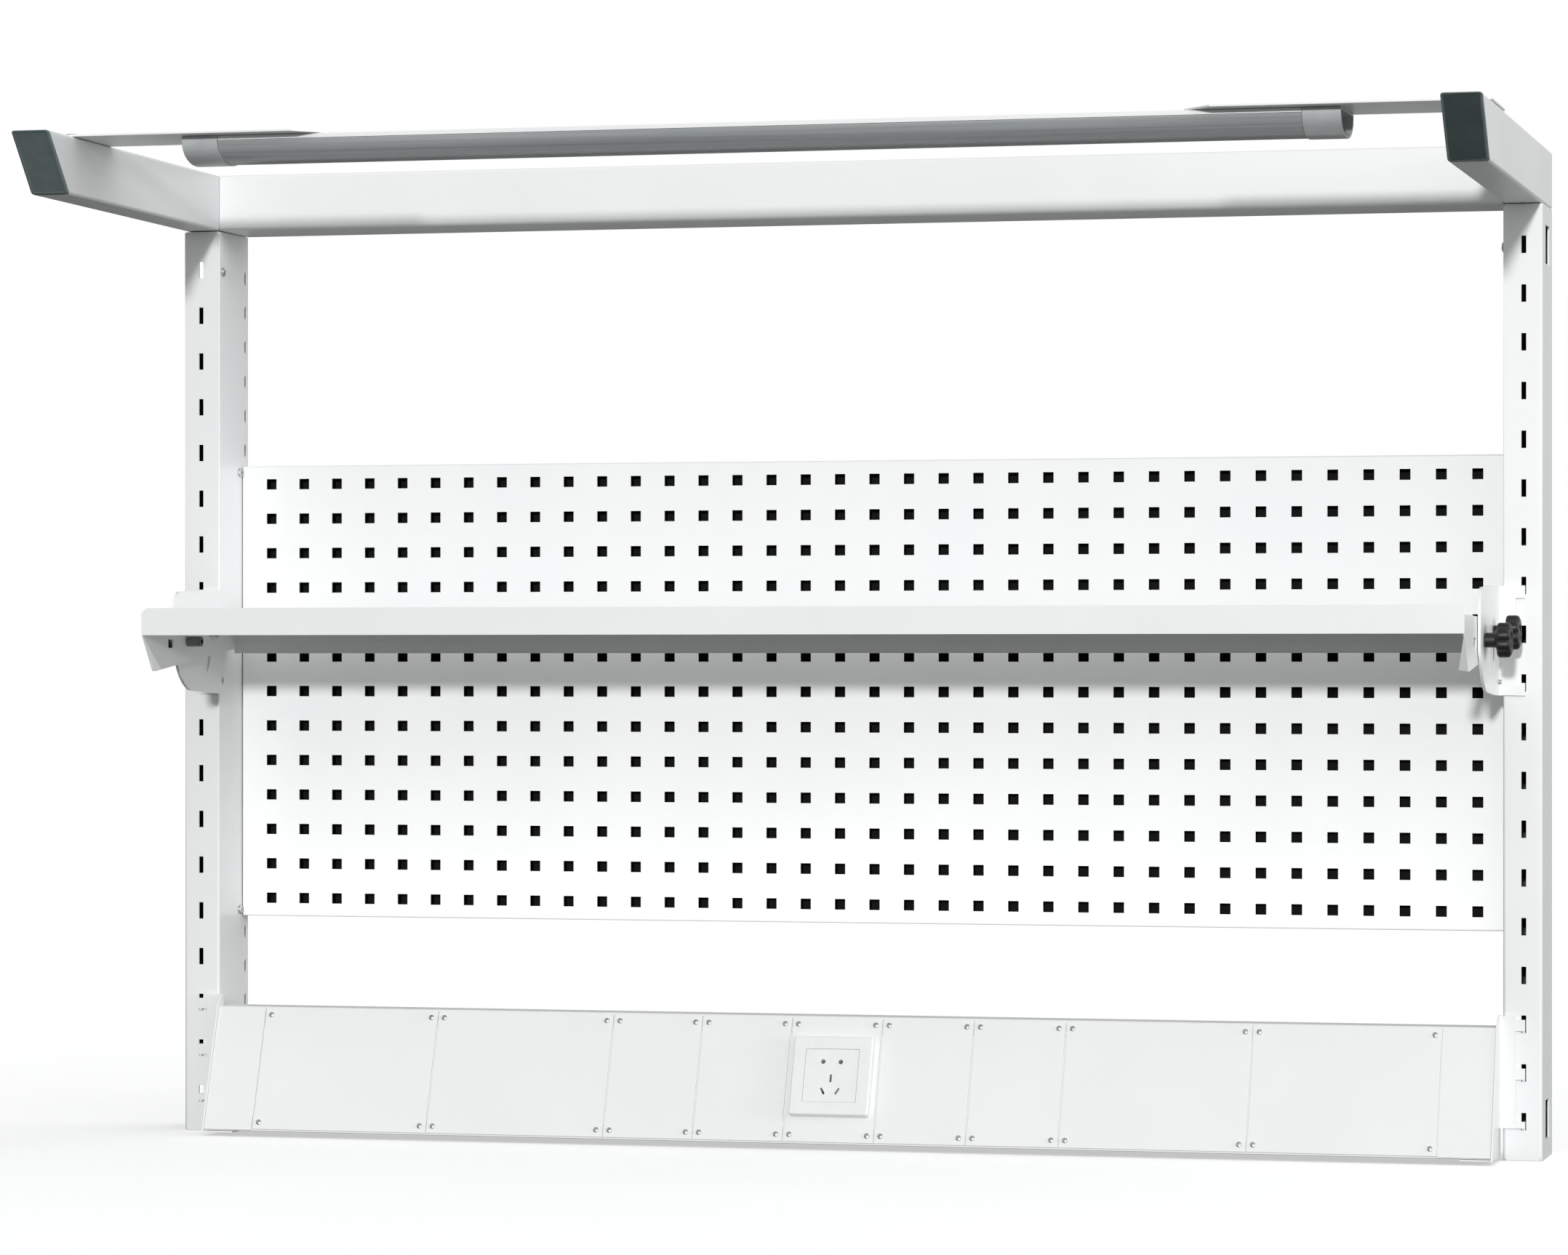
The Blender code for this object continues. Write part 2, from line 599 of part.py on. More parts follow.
def console_bracket(name, side):
    """A hooked end plate with a small tab that the console rests on."""
    front = -UPRIGHT_DEPTH - GAP
    inner = CONSOLE_HALF + GAP
    foot = CONSOLE_BOTTOM - GAP
    top_y = CONSOLE_TOP_Y - 0.003
    outline = [
        (front, 0.149), (front - PLATE, 0.149), (top_y, CONSOLE_TOP + 0.002),
        (CONSOLE_FOOT_Y - 0.003, foot - SHEET), (front, foot - SHEET),
    ]
    shape = prism(outline, "X", *mirror_x(side, inner, inner + SHEET))
    flange = block(mirror_x(side, inner + STEP, FLANGE_OUTER_X),
                   (front - PLATE, front - STEP), (0.033, 0.149 - STEP))
    tab = block(mirror_x(side, inner - 0.032, inner + SHEET - STEP),
                (CONSOLE_FOOT_Y + 0.001, front - 0.010), (foot - SHEET + STEP, foot))
    shape = fuse(fuse(shape, flange), tab)
    for index, rise in ((0, 0.0), (1, 0.0045), (2, 0.0045)):
        shape = fuse(shape, hook(side, slot_z(index), 0.007, rise))
    place(name, shape, PAINT_WHITE)


# ----------------------------------------------------------------- tilting shelf
def tilt_shelf():
    """One folded sheet: lipped floor, rear fold and two deep end plates."""
    floor_top = SHELF_FLOOR_Z + THIN
    rear = SHELF_REAR_Y
    section = [
        (SHELF_FRONT_Y, SHELF_LIP_LOW), (SHELF_FRONT_Y, SHELF_LIP_TOP),
        (SHELF_FRONT_Y + THIN, SHELF_LIP_TOP), (SHELF_FRONT_Y + THIN, floor_top), (rear, floor_top),
        (rear, SHELF_BEND_Z), (rear + SHELF_REAR_FLARE, SHELF_REAR_LOW),
        (rear + SHELF_REAR_FLARE - THIN, SHELF_REAR_LOW), (rear - THIN, SHELF_BEND_Z),
        (rear - THIN, SHELF_FLOOR_Z), (SHELF_FRONT_Y + 2 * THIN, SHELF_FLOOR_Z),
        (SHELF_FRONT_Y + 2 * THIN, SHELF_LIP_LOW),
    ]
    shape = prism(section, "X", STEP - SHELF_HALF, SHELF_HALF - STEP)
    corner = 0.006
    for side in (-1, 1):
        top = SHELF_LIP_TOP + 0.001
        nip = [(SHELF_HALF + 0.001, top - corner - 0.001), (SHELF_HALF + 0.001, top),
               (SHELF_HALF - corner - 0.001, top)]
        shape = cut(shape, prism(flip(nip, side), "Y", SHELF_FRONT_Y - 0.001, SHELF_FRONT_Y + 0.010))
        end = [
            (SHELF_FRONT_Y + 0.0005, SHELF_LIP_LOW + 0.001), (SHELF_FRONT_Y + 0.031, 0.502),
            (SHELF_FRONT_Y + 0.040, 0.5022), (SHELF_REAR_Y - STEP, 0.526),
            (SHELF_REAR_Y - STEP, 0.5535), (SHELF_FRONT_Y + 0.0005, 0.559),
        ]
        plate = prism(end, "X", *mirror_x(side, SHELF_HALF - THIN, SHELF_HALF))
        shape = fuse(shape, plate)
        return_fold = bmesh.new()
        for x, y, z in (
            (0.0, 0.0010, SHELF_LIP_LOW), (0.0, 0.0315, 0.5022), (-0.009, 0.0305, 0.5035),
            (0.0, 0.0028, SHELF_LIP_LOW), (0.0, 0.0333, 0.5022), (-0.009, 0.0323, 0.5035),
        ):
            return_fold.verts.new((side * (SHELF_HALF - 0.0005 + x), SHELF_FRONT_Y + y, z))
        bmesh.ops.convex_hull(return_fold, input=return_fold.verts)
        shape = fuse(shape, return_fold)
        through = mirror_x(side, SHELF_HALF - 0.004, SHELF_HALF + 0.001)
        hole = BOLT_RADIUS + 2 * GAP
        spare = block(through, SPARE_HOLE_Y, SPARE_HOLE_Z)
        shape = cut(shape, rod("X", (PIVOT_Y, PIVOT_Z), hole, *through, sides=16),
                    rod("X", (LOCK_Y, LOCK_Z), hole, *through, sides=16), spare)
    return place("tilt_shelf", shape, PAINT_WHITE)


def shelf_bolt(name, side, centre, stub, color):
    """A bolt through an end plate and a bracket, with its head inside."""
    seat = SHELF_HALF - THIN - GAP
    tip = SIDE_INNER_X + PLATE + 0.020
    head = rod("X", centre, BOLT_HEAD_RADIUS, *mirror_x(side, seat - stub, seat), 12)
    shank = rod("X", centre, BOLT_RADIUS, *mirror_x(side, seat - 0.002, tip), 16)
    return place(name, fuse(head, shank), color, 0.35, 1.0, smooth=True)


def knob(name, side, centre, guide):
    """A seven-lobed grip on a round collar, bored for its bolt."""
    base = SIDE_INNER_X + PLATE + GAP
    collar = rod("X", (0, 0), KNOB_COLLAR_RADIUS, *mirror_x(side, 0, KNOB_COLLAR + 0.001), 14)
    points = []
    count = 28
    for k in range(count):
        angle = 2 * pi * k / count
        radius = KNOB_RADIUS - 0.0026 * (1 - abs(cos(3.5 * angle))) ** 1.2
        points.append((radius * cos(angle), radius * sin(angle)))
    head = prism(points, "X", *mirror_x(side, KNOB_COLLAR, KNOB_COLLAR + KNOB_HEAD))
    rim = [edge for edge in head.edges if abs(edge.verts[0].co.x - edge.verts[1].co.x) < 1e-6
           and abs(edge.verts[0].co.x) > KNOB_COLLAR + KNOB_HEAD / 2]
    bmesh.ops.bevel(head, geom=rim, offset=0.0025, segments=1, profile=0.5, affect="EDGES")
    shape = fuse(head, collar)
    bore = rod("X", (0, 0), BOLT_RADIUS + 0.0001, *mirror_x(side, -0.001, 0.0205), 16)
    piece = place(name, cut(shape, bore), KNOB_BLACK, 0.4, smooth=True)
    piece.location = Vector((side * base, *centre)) - guide.location
    piece.parent = guide


def shelf():
    """The shelf, its bolts and its knobs, all hung on the pivot axis."""
    guide = empty("shelf_pivot", (0, PIVOT_Y, PIVOT_Z))
    hang(tilt_shelf(), guide)
    for label, side in (("left", -1), ("right", 1)):
        hang(shelf_bolt(label + "_pivot_bolt", side, (PIVOT_Y, PIVOT_Z), 0.016, CAP_GREY), guide)
        hang(shelf_bolt(label + "_lock_bolt", side, (LOCK_Y, LOCK_Z), 0.006, ZINC), guide)
        knob(label + "_pivot_knob", side, (PIVOT_Y, PIVOT_Z), guide)
        knob(label + "_lock_knob", side, (LOCK_Y, LOCK_Z), guide)


# ----------------------------------------------------------------- socket console
def cover_edges():
    """X of every joint between covers, from left to right."""
    edges = [-COVERED_HALF]
    for units in COVER_UNITS:
        edges.append(edges[-1] + units * COVER_UNIT)
    return edges


def console_trunking():
    """A long sheet channel whose leaning front has a window per cover."""
    def section(inset):
        lean = inset / cos(FRONT_SLOPE)
        tip = inset * (CONSOLE_TOP_Y - CONSOLE_FOOT_Y) / (CONSOLE_TOP - CONSOLE_BOTTOM)
        return [
            (CONSOLE_TOP_Y + lean - tip, CONSOLE_TOP - inset),
            (CONSOLE_REAR_Y - inset, CONSOLE_TOP - inset),
            (CONSOLE_REAR_Y - inset, CONSOLE_BOTTOM + inset),
            (CONSOLE_FOOT_Y + lean + tip, CONSOLE_BOTTOM + inset),
        ]
    shape = prism(section(0.0), "X", -CONSOLE_HALF, CONSOLE_HALF)
    shape = cut(shape, prism(section(THIN), "X", -CONSOLE_HALF - 0.01, CONSOLE_HALF + 0.01))
    edges = cover_edges()
    windows = []
    for left, right in zip(edges, edges[1:]):
        windows.append(block((left + 0.011, right - 0.011), (-0.006, 0.006), (0.017, FRONT_LENGTH - 0.017)))
    tool = join(*windows)
    bmesh.ops.transform(tool, matrix=front_matrix(), verts=tool.verts)
    shape = combine(shape, tool, "DIFFERENCE")
    for side in (-1, 1):
        strip = block(mirror_x(side, COVERED_HALF + GAP, CONSOLE_HALF), (-THIN - GAP, 0.0005),
                      (0.001, FRONT_LENGTH - 0.0015))
        bmesh.ops.transform(strip, matrix=front_matrix(), verts=strip.verts)
        shape = fuse(shape, strip)
    place("console_trunking", shape, PAINT_WHITE)


def front_matrix():
    """From the leaning front's frame, with +Z up its slope, to the world."""
    return Matrix.Translation((0, CONSOLE_FOOT_Y, CONSOLE_BOTTOM)) @ Matrix.Rotation(-FRONT_SLOPE, 4, "X")


def cover(name, left, right, guide, opening=None):
    """A cover plate whose side edges are relieved over their middle."""
    low = 0.002
    high = FRONT_LENGTH - 0.002
    edge = GAP
    relief = 0.0011
    end = 0.016
    outline = [
        (left + edge, low), (right - edge, low), (right - edge, low + end),
        (right - relief, low + end), (right - relief, high - end), (right - edge, high - end),
        (right - edge, high), (left + edge, high), (left + edge, high - end),
        (left + relief, high - end), (left + relief, low + end), (left + edge, low + end),
    ]
    shape = prism(outline, "Y", -THIN - GAP, -GAP)
    if opening:
        shape = cut(shape, block(opening[0], (-0.01, 0.01), opening[1]))
    piece = place(name, shape, PAINT_WHITE)
    piece.parent = guide


def socket(guide):
    """A wall socket: face frame, pin insert and a box behind the cover."""
    middle = FRONT_LENGTH * 0.515
    half = SOCKET_SIZE / 2
    window = 0.029
    rear = -THIN - 2 * GAP
    face = block((-half, half), (rear - SOCKET_THICKNESS, rear), (middle - half, middle + half))
    corners = [edge for edge in face.edges if abs(edge.verts[0].co.y - edge.verts[1].co.y) > 0.001]
    bmesh.ops.bevel(face, geom=corners, offset=0.003, segments=3, profile=0.5, affect="EDGES")
    face = cut(face, block((-window, window), (-0.02, 0.01), (middle - window, middle + window)))
    inner = window - GAP
    insert = block((-inner, inner), (rear - SOCKET_THICKNESS + 0.0004, rear + 0.004),
                   (middle - inner, middle + inner))
    pins = []
    for side in (-1, 1):
        pins.append(rod("Y", (side * 0.0095, middle + 0.015), 0.0025, -0.03, 0.03, 12))
        slot = block((-0.0011, 0.0011), (-0.03, 0.03), (-0.0038, 0.0038))
        turn = Matrix.Rotation(side * radians(30), 4, "Y")
        move = Matrix.Translation((side * 0.0079, 0, middle - 0.017))
        bmesh.ops.transform(slot, matrix=move @ turn, verts=slot.verts)
        pins.append(slot)
    pins.append(block((-0.0011, 0.0011), (-0.03, 0.03), (middle - 0.0072, middle + 0.0012)))
    insert = cut(insert, *pins)
    reach = 0.035
    box = block((-reach, reach), (THIN + 2 * GAP - 0.0012, 0.030), (middle - reach, middle + reach))
    hollow = block((-reach + THIN, reach - THIN), (-0.01, 0.030 - THIN),
                   (middle - reach + THIN, middle + reach - THIN))
    shapes = {"socket_plate": face, "socket_insert": insert, "socket_back_box": cut(box, hollow)}
    for name, shape in shapes.items():
        place(name, shape, SOCKET_WHITE, 0.35).parent = guide
    return (-window, window), (middle - window, middle + window)


def console():
    guide = empty("console_front", (0, CONSOLE_FOOT_Y, CONSOLE_BOTTOM), (-FRONT_SLOPE, 0, 0))
    console_trunking()
    opening = socket(guide)
    edges = cover_edges()
    counts = {1: 0, 2: 0}
    for units, left, right in zip(COVER_UNITS, edges, edges[1:]):
        counts[units] += 1
        label = "narrow" if units == 1 else "wide"
        middle = left < 0 < right
        cover(f"{label}_cover_{counts[units]}", left, right, guide, opening if middle else None)


# ------------------------------------------------------------------------- build
def main():
    for old in list(bpy.data.objects):
        bpy.data.objects.remove(old)
    tool_panel()
    panel_backing()
    canopy()
    for label, side in (("left", -1), ("right", 1)):
        upright(label + "_upright", side)
        for screw, place_yz in SIDE_SCREWS.items():
            side_screw(f"{label}_{screw}", side, place_yz)
        shelf_bracket(label + "_shelf_bracket", side)
        bracket_stop(label + "_bracket_stop_screw", side)
        console_bracket(label + "_console_bracket", side)
    shelf()
    console()
    bpy.context.view_layer.update()


main()
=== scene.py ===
import json
from math import cos, pi, radians, sin

import bmesh
import bpy
from mathutils import Matrix, Vector


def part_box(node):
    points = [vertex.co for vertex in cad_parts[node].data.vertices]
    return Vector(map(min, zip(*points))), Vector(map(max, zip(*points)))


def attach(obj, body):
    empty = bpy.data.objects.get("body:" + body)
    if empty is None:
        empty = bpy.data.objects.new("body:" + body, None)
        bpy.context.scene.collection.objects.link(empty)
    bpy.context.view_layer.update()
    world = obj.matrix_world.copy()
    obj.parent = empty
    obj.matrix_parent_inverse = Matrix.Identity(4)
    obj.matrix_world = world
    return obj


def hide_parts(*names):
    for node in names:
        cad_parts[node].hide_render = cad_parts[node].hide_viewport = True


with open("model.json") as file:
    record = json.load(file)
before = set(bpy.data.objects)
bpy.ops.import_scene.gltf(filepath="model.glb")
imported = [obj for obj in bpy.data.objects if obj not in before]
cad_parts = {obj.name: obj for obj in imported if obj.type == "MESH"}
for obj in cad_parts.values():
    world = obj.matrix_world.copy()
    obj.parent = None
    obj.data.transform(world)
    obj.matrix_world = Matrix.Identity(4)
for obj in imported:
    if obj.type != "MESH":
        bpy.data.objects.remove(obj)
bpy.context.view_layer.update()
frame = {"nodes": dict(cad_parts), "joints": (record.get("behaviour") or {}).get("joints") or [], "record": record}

# ------------------------------------------------------------- sizes, in metres
TUBE_FOLD = 0.0030        # outer radius of the square tubes' corners
TUBE_WALL = 0.0020
SHEET_FOLD = 0.0022       # outer radius of the thin sheet's folds
SHEET_WALL = 0.0015
BROKEN_EDGE = 0.0003
WIDE_FACE = 0.0040        # a face wider than this is a wall of a sheet, not its cut edge
LONG_EDGE = 0.012

COVER_SCREW_HEAD = 0.0029
COVER_SCREW_INSET = 0.0070
COVER_SCREW_END = 0.0077
SIDE_SCREW_HEAD = 0.0050
STOP_SCREW_HEAD = 0.0042

KNOB_POINTS = 98
KNOB_LOBES = 7
KNOB_RADIUS = 0.0178
KNOB_WAVE = 0.0027
LED_COUNT = 54

CAP_FACE = 0.0035         # thickness of an arm cap's face plate
CAP_PLUG = 0.012
CAP_CORNER = 0.0034
CAP_PLUG_INSET = 0.0026

KEY_STRENGTH = 1.90       # suns, in watts per square metre
SIDE_STRENGTH = 0.85
LOW_FILL_POWER = 1.9      # watts, on the tool panel only
CAMERA_LENS = 123.5       # millimetres
CAMERA_PLACE = (1.3757, -5.6194, 0.5117)
CAMERA_TURN = radians(14.583)

SIDES = (("left", -1), ("right", 1))
SLOT_OF = {part["node"]: part["material_slot"] for part in frame["record"]["subparts"]}
BODY_OF = {node: body for body, nodes in frame["record"]["behaviour"]["bodies"].items() for node in nodes}
MOUNTS = {mount["name"]: mount for mount in frame["record"]["mounts"]}


# ------------------------------------------------------------------- node trees
def new_material(name, color, roughness, metallic=0.0):
    """A Principled material and the parts of its tree that a finish builds on."""
    material = bpy.data.materials.new(name)
    material.use_nodes = True
    tree = material.node_tree
    shader = tree.nodes["Principled BSDF"]
    shader.inputs["Base Color"].default_value = (*color, 1.0)
    shader.inputs["Roughness"].default_value = roughness
    shader.inputs["Metallic"].default_value = metallic
    where = tree.nodes.new("ShaderNodeTexCoord")
    return material, tree, shader, where.outputs["Object"]


def noise(tree, where, scale, detail=3.0, roughness=0.5):
    node = tree.nodes.new("ShaderNodeTexNoise")
    tree.links.new(where, node.inputs["Vector"])
    node.inputs["Scale"].default_value = scale
    node.inputs["Detail"].default_value = detail
    node.inputs["Roughness"].default_value = roughness
    return node.outputs["Fac"]


def spread(tree, value, low, high, start=0.3, stop=0.7):
    """Map a pattern's middle range onto two numbers."""
    node = tree.nodes.new("ShaderNodeMapRange")
    tree.links.new(value, node.inputs["Value"])
    node.inputs["From Min"].default_value = start
    node.inputs["From Max"].default_value = stop
    node.inputs["To Min"].default_value = low
    node.inputs["To Max"].default_value = high
    return node.outputs["Result"]


def tints(tree, value, *stops):
    """Colours along a pattern, given as (place, colour) pairs."""
    node = tree.nodes.new("ShaderNodeValToRGB")
    tree.links.new(value, node.inputs["Fac"])
    elements = node.color_ramp.elements
    while len(elements) < len(stops):
        elements.new(0.5)
    for element, (place, color) in zip(elements, stops):
        element.position = place
        element.color = (*color, 1.0)
    return node.outputs["Color"]


def relief(tree, shader, layers):
    """Stack bumps, given as (pattern, depth in metres, strength)."""
    below = None
    for pattern, depth, strength in layers:
        node = tree.nodes.new("ShaderNodeBump")
        tree.links.new(pattern, node.inputs["Height"])
        node.inputs["Distance"].default_value = depth
        node.inputs["Strength"].default_value = strength
        if below:
            tree.links.new(below, node.inputs["Normal"])
        below = node.outputs["Normal"]
    tree.links.new(below, shader.inputs["Normal"])


# -------------------------------------------------------------------- materials
def powder_coat():
    """White satin powder coat: slight orange peel, fine grain and faint clouding."""
    material, tree, shader, where = new_material("white powder coat", (0.80, 0.81, 0.81), 0.36)
    clouds = noise(tree, where, 7.0, 4.0)
    color = tints(tree, clouds, (0.25, (0.785, 0.800, 0.803)), (0.55, (0.812, 0.820, 0.820)),
                  (0.80, (0.832, 0.838, 0.834)))
    tree.links.new(color, shader.inputs["Base Color"])
    peel = noise(tree, where, 420.0, 2.0)
    grain = noise(tree, where, 2600.0, 2.0, 0.6)
    tree.links.new(spread(tree, peel, 0.30, 0.42), shader.inputs["Roughness"])
    relief(tree, shader, [(peel, 0.00010, 0.22), (grain, 0.00002, 0.25)])
    shader.inputs["Coat Weight"].default_value = 0.15
    shader.inputs["Coat Roughness"].default_value = 0.25
    return material


def moulded(name, dark, light, roughness, grain_scale, grain_depth, coat=0.0):
    """Moulded plastic with a spark-eroded grain and slight flow clouding."""
    material, tree, shader, where = new_material(name, dark, roughness)
    clouds = noise(tree, where, 60.0, 4.0)
    tree.links.new(tints(tree, clouds, (0.30, dark), (0.72, light)), shader.inputs["Base Color"])
    cells = tree.nodes.new("ShaderNodeTexVoronoi")
    tree.links.new(where, cells.inputs["Vector"])
    cells.inputs["Scale"].default_value = grain_scale
    fine = noise(tree, where, grain_scale * 2.3, 2.0)
    tree.links.new(spread(tree, fine, roughness - 0.06, roughness + 0.08), shader.inputs["Roughness"])
    relief(tree, shader, [(cells.outputs["Distance"], grain_depth, 0.5), (fine, grain_depth / 2, 0.3)])
    shader.inputs["Coat Weight"].default_value = coat
    shader.inputs["Coat Roughness"].default_value = 0.12
    return material


def plated(name, color, bright, roughness):
    """Plated or blackened steel with a fine drawn grain and cloudy patches."""
    material, tree, shader, where = new_material(name, color, roughness, 1.0)
    patches = noise(tree, where, 240.0, 5.0, 0.6)
    tree.links.new(tints(tree, patches, (0.32, color), (0.70, bright)), shader.inputs["Base Color"])
    drawn = noise(tree, where, 3000.0, 2.0)
    tree.links.new(spread(tree, drawn, roughness - 0.08, roughness + 0.10), shader.inputs["Roughness"])
    relief(tree, shader, [(drawn, 0.00001, 0.3)])
    return material


def milky_lens():
    """Extruded milky plastic: fine lines along its length, light passing softly."""
    material, tree, shader, where = new_material("milky lens", (0.42, 0.44, 0.44), 0.30)
    stretch = tree.nodes.new("ShaderNodeMapping")
    stretch.inputs["Scale"].default_value = (0.6, 90.0, 90.0)
    tree.links.new(where, stretch.inputs["Vector"])
    streaks = noise(tree, stretch.outputs["Vector"], 4.0, 3.0)
    color = tints(tree, streaks, (0.30, (0.30, 0.32, 0.325)), (0.70, (0.40, 0.42, 0.42)))
    tree.links.new(color, shader.inputs["Base Color"])
    tree.links.new(spread(tree, streaks, 0.24, 0.36), shader.inputs["Roughness"])
    relief(tree, shader, [(streaks, 0.00004, 0.3)])
    shader.inputs["Subsurface Weight"].default_value = 0.2
    shader.inputs["Subsurface Radius"].default_value = (0.004, 0.004, 0.004)
    shader.inputs["Subsurface Scale"].default_value = 1.0
    return material


def painted_shade_board():
    """Black sheet behind the tool panel, with a matt felted face: painted shade seen through the peg holes."""
    material, tree, shader, where = new_material("black backing painting shade in the holes", (0.006, 0.006, 0.007), 0.85)
    fibres = noise(tree, where, 900.0, 6.0, 0.7)
    color = tints(tree, fibres, (0.30, (0.004, 0.004, 0.005)), (0.75, (0.010, 0.010, 0.011)))
    tree.links.new(color, shader.inputs["Base Color"])
    tree.links.new(spread(tree, fibres, 0.78, 0.95), shader.inputs["Roughness"])
    relief(tree, shader, [(fibres, 0.00008, 0.5)])
    shader.inputs["Specular IOR Level"].default_value = 0.2
    return material


FINISHES = {
    "white_steel": powder_coat(),
    "cap_plastic": moulded("green-grey cap", (0.095, 0.130, 0.127), (0.118, 0.156, 0.152),
                              0.55, 2400.0, 0.00006),
    "knob_plastic": moulded("black knob", (0.004, 0.004, 0.005), (0.008, 0.008, 0.009),
                              0.42, 2000.0, 0.00004),
    "zinc_steel": plated("bright zinc", (0.52, 0.53, 0.55), (0.70, 0.70, 0.69), 0.28),
    "black_steel": plated("blackened steel", (0.16, 0.16, 0.17), (0.26, 0.26, 0.27), 0.38),
    "lamp_lens": milky_lens(),
    "lamp_plastic": moulded("lamp plastic", (0.46, 0.48, 0.485), (0.53, 0.55, 0.55),
                              0.34, 1600.0, 0.00002, 0.2),
    "light_board": moulded("board lacquer", (0.70, 0.71, 0.66), (0.78, 0.79, 0.75), 0.38, 900.0, 0.00002),
    # black sheet behind the tool panel: painted shade in the peg holes
    "dark_board": painted_shade_board(),
    "socket_plastic": moulded("socket plastic", (0.80, 0.81, 0.81), (0.84, 0.85, 0.85),
                              0.24, 1500.0, 0.00001, 0.4),
}
# Dark steel on the tubes' inside walls: painted shade, so the slots and the bores read black.
PAINTED_SHADE_INSIDE = plated("dark steel painting shade inside a tube", (0.035, 0.036, 0.040), (0.075, 0.073, 0.070), 0.55)


# ---------------------------------------------------------------- shape helpers
def settle(name, bm, *nodes, body=None, slot=None, rim=0.0, crease=40):
    """Turn a bmesh into a piece that rides on a body and stands for CAD nodes."""
    bmesh.ops.recalc_face_normals(bm, faces=bm.faces)
    if bm.calc_volume(signed=True) < 0:
        bmesh.ops.reverse_faces(bm, faces=bm.faces)
    mesh = bpy.data.meshes.new(name)
    bm.to_mesh(mesh)
    bm.free()
    mesh.shade_smooth()
    mesh.set_sharp_from_angle(angle=radians(crease))
    piece = bpy.data.objects.new(name, mesh)
    bpy.context.scene.collection.objects.link(piece)
    slot = slot or SLOT_OF[nodes[0]]
    mesh.materials.append(FINISHES[slot])
    if rim:
        bevel = piece.modifiers.new("broken edges", "BEVEL")
        bevel.width = rim
        bevel.segments = 2
        bevel.limit_method = "ANGLE"
        bevel.angle_limit = radians(crease)
    flat = piece.modifiers.new("flat faces", "WEIGHTED_NORMAL")
    flat.keep_sharp = True
    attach(piece, body or BODY_OF[nodes[0]])
    if nodes:
        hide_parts(*nodes)
    return piece


def merged(node):
    """A CAD node's shape with its triangles joined into whole flat faces."""
    bm = bmesh.new()
    bm.from_mesh(frame["nodes"][node].data)
    bmesh.ops.remove_doubles(bm, verts=bm.verts, dist=0.00001)
    bmesh.ops.dissolve_limit(bm, angle_limit=radians(0.8), use_dissolve_boundaries=False,
                             verts=bm.verts, edges=bm.edges)
    bm.normal_update()
    return bm


def mean_width(face):
    return 2 * face.calc_area() / face.calc_perimeter()


def round_folds(bm, outer, wall, least=LONG_EDGE):
    """Round the edges where two wide walls of a sheet or a tube meet."""
    convex = []
    hollow = []
    for edge in bm.edges:
        if len(edge.link_faces) != 2 or edge.calc_length() < least:
            continue
        if edge.calc_face_angle() < radians(50):
            continue
        if min(mean_width(face) for face in edge.link_faces) > WIDE_FACE:
            (convex if edge.is_convex else hollow).append(edge)
    bevel_edges(bm, convex, outer, 4)
    if hollow and outer > wall:
        bevel_edges(bm, [edge for edge in hollow if edge.is_valid], outer - wall, 3)


def bevel_edges(bm, edges, offset, segments):
    bmesh.ops.bevel(bm, geom=edges, offset=offset, offset_type="OFFSET", segments=segments,
                    profile=0.5, affect="EDGES", material=-1, clamp_overlap=False)


def rework(node, fold=0.0, wall=0.0, rim=BROKEN_EDGE):
    """A CAD node's own shape with round folds and broken edges."""
    bm = merged(node)
    if fold:
        round_folds(bm, fold, wall)
    return settle(node + "_made", bm, node, rim=rim)


def unmerged(node):
    """A CAD node's own shape with broken edges, for a plate whose flat faces don't merge cleanly."""
    bm = bmesh.new()
    bm.from_mesh(frame["nodes"][node].data)
    bmesh.ops.remove_doubles(bm, verts=bm.verts, dist=0.00001)
    settle(node + "_made", bm, node, rim=BROKEN_EDGE)


def tube(node, slack):
    """A painted tube whose inside walls get a dark steel finish that paints shade into the bore."""
    bm = merged(node)
    low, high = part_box(node)
    # Inside walls take the dark finish in slot 1: painted shade in the bore.
    for face in bm.faces:
        axis = max(range(3), key=lambda k: abs(face.normal[k]))
        inward = ((low + high) / 2 - face.calc_center_median())[axis] * face.normal[axis]
        if abs(inward - (high - low)[axis] / 2 + TUBE_WALL) < slack:
            face.material_index = 1
    round_folds(bm, TUBE_FOLD, TUBE_WALL)
    piece = settle(node + "_made", bm, node, rim=BROKEN_EDGE)
    piece.data.materials.append(PAINTED_SHADE_INSIDE)


def combine(body, tool, operation):
    """Boolean one bmesh with another and return the result."""
    pair = []
    for shape in (body, tool):
        bmesh.ops.recalc_face_normals(shape, faces=shape.faces)
        mesh = bpy.data.meshes.new("combine")
        shape.to_mesh(mesh)
        shape.free()
        item = bpy.data.objects.new("combine", mesh)
        bpy.context.scene.collection.objects.link(item)
        pair.append(item)
    modifier = pair[0].modifiers.new("combine", "BOOLEAN")
    modifier.operation = operation
    modifier.object = pair[1]
    evaluated = pair[0].evaluated_get(bpy.context.evaluated_depsgraph_get())
    result = bmesh.new()
    result.from_mesh(evaluated.to_mesh())
    evaluated.to_mesh_clear()
    for item in pair:
        mesh = item.data
        bpy.data.objects.remove(item)
        bpy.data.meshes.remove(mesh)
    return result


def block(low, high):
    """A box between two corners."""
    low, high = Vector(low), Vector(high)
    size = Matrix.Diagonal((*(high - low), 1.0))
    bm = bmesh.new()
    bmesh.ops.create_cube(bm, size=1.0, matrix=Matrix.Translation((low + high) / 2) @ size)
    return bm


def lathe(profile, steps=24):
    """Spin a profile of (radius, height) points about the Z axis."""
    bm = bmesh.new()
    points = [bm.verts.new((radius, 0, height)) for radius, height in profile]
    lines = [bm.edges.new(pair) for pair in zip(points, points[1:])]
    bmesh.ops.spin(bm, geom=points + lines, cent=(0, 0, 0), axis=(0, 0, 1), dvec=(0, 0, 0),
                   angle=2 * pi, steps=steps, use_merge=True, use_duplicate=False)
    bmesh.ops.remove_doubles(bm, verts=bm.verts, dist=0.000002)
    return bm


